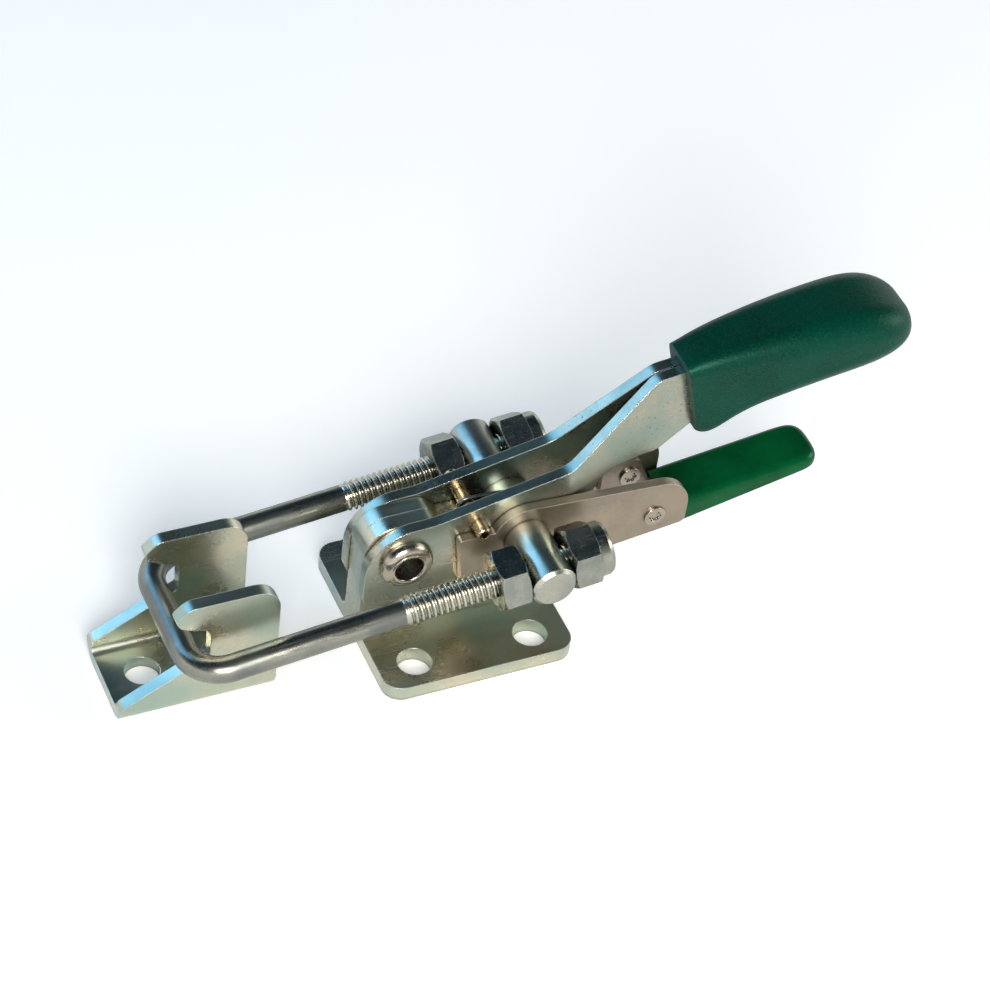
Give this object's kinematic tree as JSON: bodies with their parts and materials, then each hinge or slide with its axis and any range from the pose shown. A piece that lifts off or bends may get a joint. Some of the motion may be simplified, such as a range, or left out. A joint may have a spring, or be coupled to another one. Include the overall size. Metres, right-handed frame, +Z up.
{
  "type": "over centre toggle latch",
  "caption": "Hook-type over centre toggle latch with a threaded U hook, a hooked keeper, twin flanged base brackets, a gripped handle and a spring-loaded release lever.",
  "frame": {"origin": "on the mounting plane, at the centre of the four base holes", "axes": "+X from the keeper towards the grip, +Z up off the mounting plane, Y across the two mirrored halves"},
  "size_m": [0.1686, 0.0463, 0.0644],
  "materials": {
    "zinc_sheet": "bright zinc plate, faint cream tint, satin",
    "satin_plate": "satin zinc plate, warm grey",
    "bright_steel": "bright zinc plate",
    "hook_rod": "bright zinc plate, rolled threads",
    "nickel_rivet": "bright nickel, warm tint",
    "bronze_pin": "straw tinted spring steel",
    "spring_wire": "bright spring wire",
    "nylon": "natural nylon",
    "grip_plastic": "dark green grained soft plastic",
    "dip_vinyl": "glossy dipped green vinyl"
  },
  "bodies": {
    "base": {"base_bracket_near": "zinc_sheet", "base_bracket_far": "zinc_sheet", "pivot_rivet": "nickel_rivet", "keeper": "zinc_sheet"},
    "handle": {"handle_arm_near": "zinc_sheet", "handle_arm_far": "zinc_sheet", "grip": "grip_plastic", "stop_pin": "bronze_pin", "trunnion_spacer": "bright_steel"},
    "hook": {"trunnion": "bright_steel", "u_bolt": "hook_rod", "jam_nut_near": "bright_steel", "jam_nut_far": "bright_steel", "lock_nut_near": "bright_steel", "lock_nut_far": "bright_steel", "nylon_insert_near": "nylon", "nylon_insert_far": "nylon"},
    "release_lever": {"release_plate_near": "satin_plate", "release_plate_far": "satin_plate", "lever_core": "zinc_sheet", "lever_dip": "dip_vinyl", "star_rivet_near": "nickel_rivet", "star_rivet_far": "nickel_rivet", "return_spring": "spring_wire"}
  },
  "joints": [
    {"name": "handle_swing", "type": "hinge", "parent": "base", "child": "handle", "pos_m": [-0.0126, 0, 0.0231], "axis": [0, -1, 0], "range_deg": [0, 125]},
    {"name": "hook_swing", "type": "hinge", "parent": "handle", "child": "hook", "pos_m": [0.0124, 0, 0.0246], "axis": [0, -1, 0], "range_deg": [-100, 0]},
    {"name": "lever_squeeze", "type": "hinge", "parent": "handle", "child": "release_lever", "pos_m": [0.0124, 0, 0.0246], "axis": [0, -1, 0], "range_deg": [0, 15], "stiffness_Nm_per_rad": 0.15, "springref_deg": -20.05, "deforming": ["return_spring"]}
  ],
  "couplings": [
    {"joint": "hook_swing", "follows": "handle_swing", "ratio": -0.8}
  ]
}
